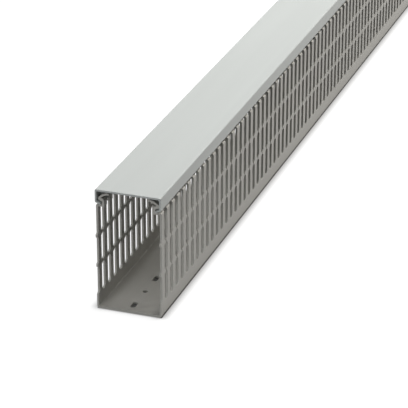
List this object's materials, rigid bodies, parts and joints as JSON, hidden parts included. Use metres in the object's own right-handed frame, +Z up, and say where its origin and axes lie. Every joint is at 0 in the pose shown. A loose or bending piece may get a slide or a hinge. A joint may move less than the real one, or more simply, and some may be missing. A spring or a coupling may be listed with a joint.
{
  "type": "slotted wire duct",
  "caption": "Slotted wiring duct with open-topped finger walls, a perforated base and a clip-on cover, as a straight length.",
  "frame": {"origin": "middle of the base's underside", "axes": "+Y along the length, +X across the width, +Z up from the base to the cover"},
  "size_m": [0.056, 1, 0.106],
  "materials": {
    "trough_pvc": "semi-matte rigid PVC",
    "cover_pvc": "semi-matte rigid PVC"
  },
  "bodies": {
    "trough": {"trough": "trough_pvc"},
    "cover": {"cover": "cover_pvc"}
  },
  "joints": [
    {"name": "cover_slide", "type": "slide", "parent": "trough", "child": "cover", "axis": [0, 1, 0], "range_m": [-0.9, 0.9]}
  ]
}
